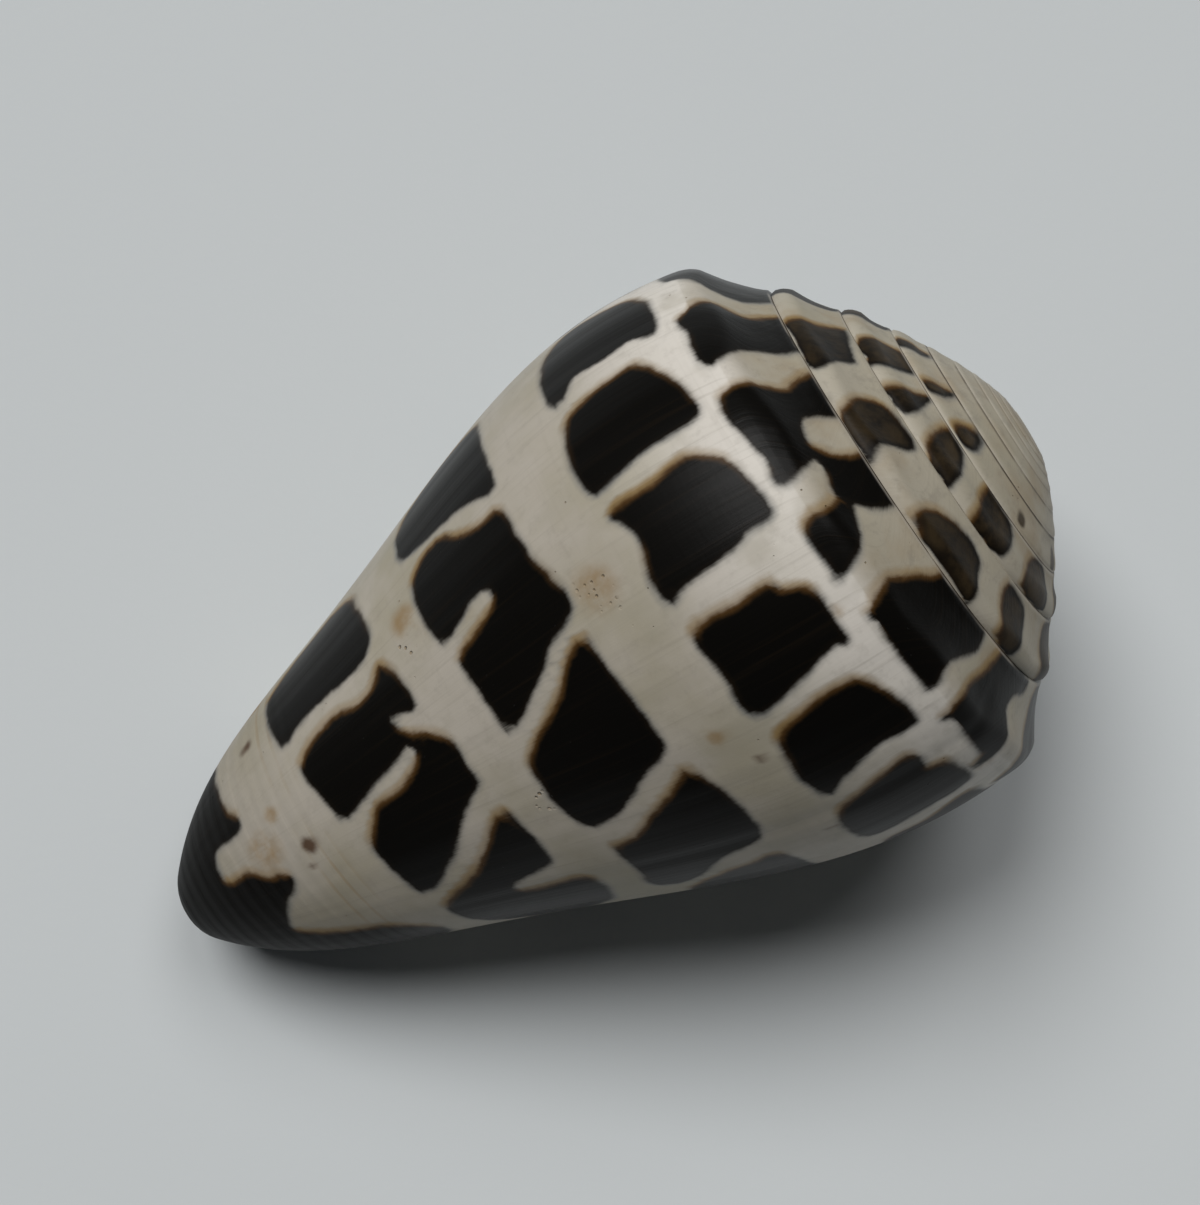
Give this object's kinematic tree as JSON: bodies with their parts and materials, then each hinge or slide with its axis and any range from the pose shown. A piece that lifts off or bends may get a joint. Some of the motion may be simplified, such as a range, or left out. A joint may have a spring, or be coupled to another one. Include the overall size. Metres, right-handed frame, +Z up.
{
  "type": "cone shell",
  "caption": "Empty cone-shaped sea snail shell with a low stepped spire and a long narrow aperture, lying on its aperture.",
  "frame": {"origin": "on the surface the shell lies on, under the middle of its bounding box", "axes": "+Z up, the shell's axis in the XZ plane with the apex towards +X and raised, the lip on the +Y side underneath"},
  "size_m": [0.0368, 0.0226, 0.0217],
  "materials": {
    "shell": "satin natural shell, cream white with spiral rows of black rectangular blotches, dark front tip"
  },
  "bodies": {
    "root": {"cone_shell": "shell"}
  },
  "joints": []
}
